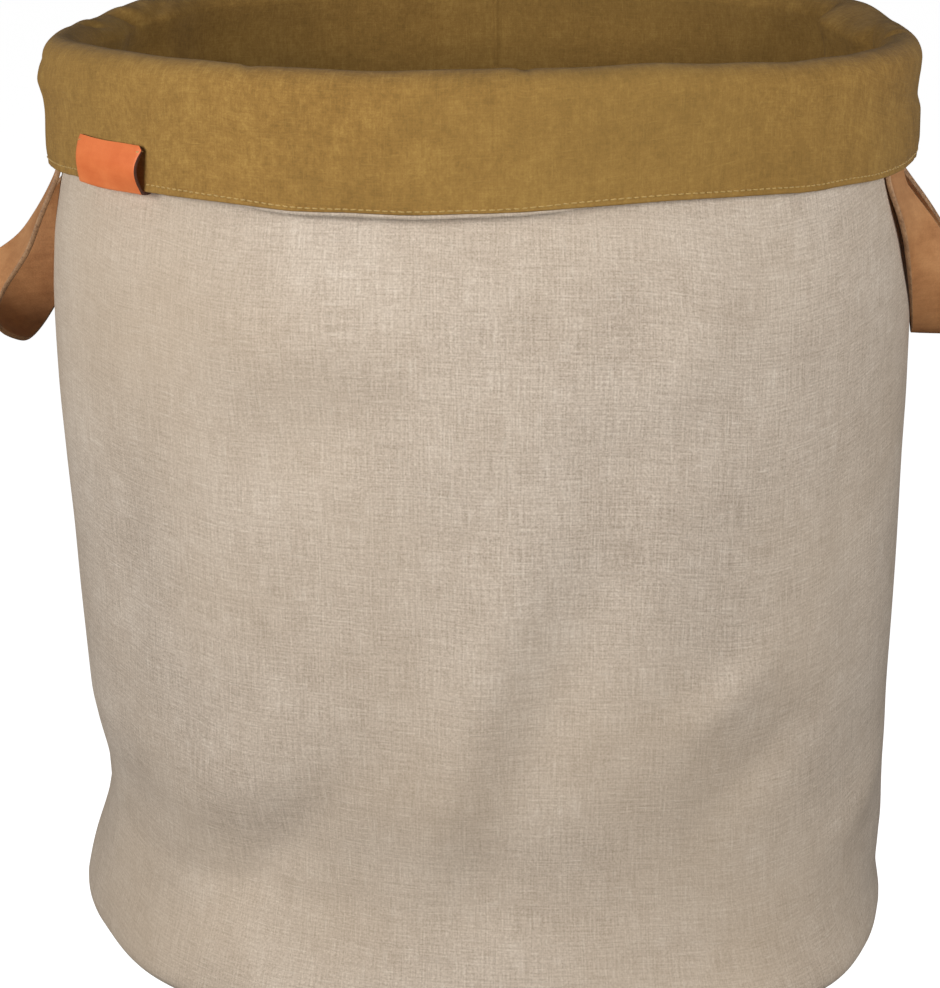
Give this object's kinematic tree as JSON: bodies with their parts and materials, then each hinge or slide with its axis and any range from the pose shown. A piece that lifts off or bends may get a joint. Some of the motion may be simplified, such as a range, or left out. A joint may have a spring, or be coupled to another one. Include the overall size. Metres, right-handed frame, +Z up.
{
  "type": "fabric storage bin",
  "caption": "Soft round storage bin: canvas outside, mustard linen lining turned down outside as a stitched cuff, leather label, and a hanging leather strap handle on each side.",
  "frame": {"origin": "centre of the base's underside, on the surface that the bin stands on", "axes": "+Z up; the handles are on +X and -X; the front, with the label to its left, faces -Y"},
  "size_m": [0.4836, 0.4128, 0.4195],
  "materials": {
    "canvas": "natural linen canvas, plain weave",
    "lining": "mustard linen, plain weave",
    "interlining": "off-white needled felt",
    "board": "matt grey board",
    "thread": "golden yellow sewing thread",
    "label_leather": "smooth orange-tan leather",
    "strap_leather": "mid-brown smooth leather, waxed"
  },
  "bodies": {
    "bin": {"outer_wall": "canvas", "outer_base": "canvas", "wall_interlining": "interlining", "base_board": "board", "lining_wall": "lining", "lining_base": "lining", "hem_topstitch": "thread", "label": "label_leather", "label_tack_left": "thread", "label_tack_right": "thread", "right_strap_end_front": "strap_leather", "right_strap_end_front_stitching": "thread", "right_strap_end_back": "strap_leather", "right_strap_end_back_stitching": "thread", "left_strap_end_front": "strap_leather", "left_strap_end_front_stitching": "thread", "left_strap_end_back": "strap_leather", "left_strap_end_back_stitching": "thread"},
    "right_loop": {"right_handle": "strap_leather"},
    "left_loop": {"left_handle": "strap_leather"}
  },
  "joints": [
    {"name": "right_handle_swing", "type": "hinge", "parent": "bin", "child": "right_loop", "pos_m": [0.2, 0, 0.355], "axis": [0, -1, 0], "range_deg": [0, 135]},
    {"name": "left_handle_swing", "type": "hinge", "parent": "bin", "child": "left_loop", "pos_m": [-0.2, 0, 0.355], "axis": [0, 1, 0], "range_deg": [0, 115]}
  ]
}
